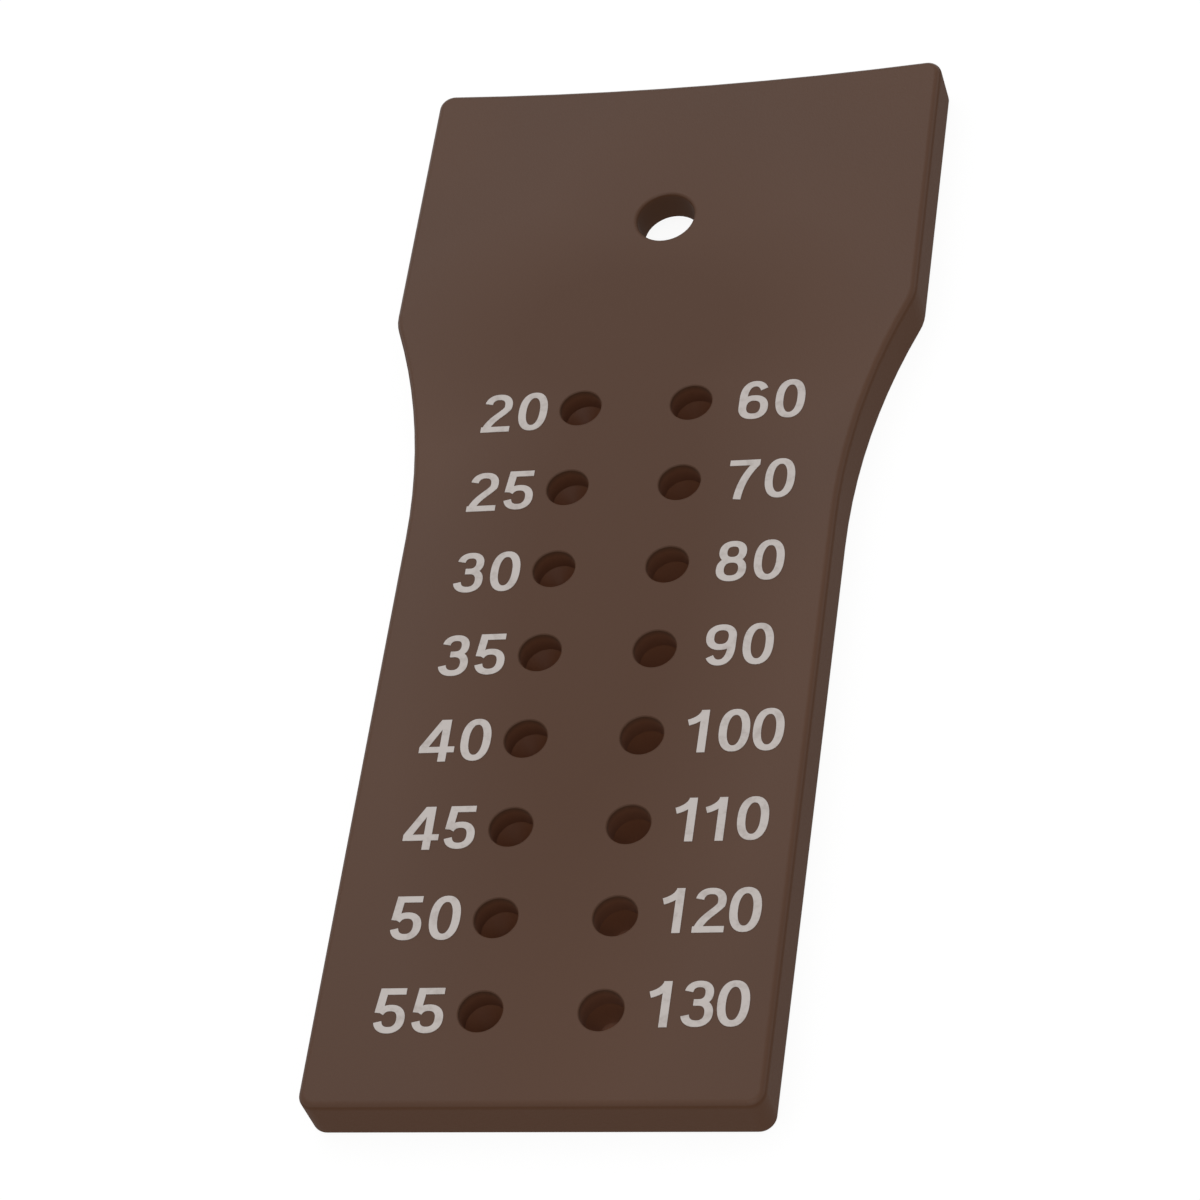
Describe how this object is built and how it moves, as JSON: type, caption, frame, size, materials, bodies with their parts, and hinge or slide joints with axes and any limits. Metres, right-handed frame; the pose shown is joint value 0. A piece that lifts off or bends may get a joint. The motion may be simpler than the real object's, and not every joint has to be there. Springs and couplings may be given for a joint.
{
  "type": "endodontic measuring ruler",
  "caption": "Flat plastic plate with a wider head, a hang hole and two columns of numbered, calibrated holes for sizing the tips of endodontic points.",
  "frame": {"origin": "middle of the flat back face, at the centre of the plate's outline", "axes": "+Y along the plate towards the head with the hang hole, +Z out of the printed front face, +X to the right as the numbers are read"},
  "size_m": [0.0276, 0.062, 0.0027],
  "materials": {
    "plate": "satin, moulded, dark brown",
    "print_ink": "matt, printed, light warm grey"
  },
  "bodies": {
    "root": {"gauge_plate": "plate"}
  },
  "joints": []
}
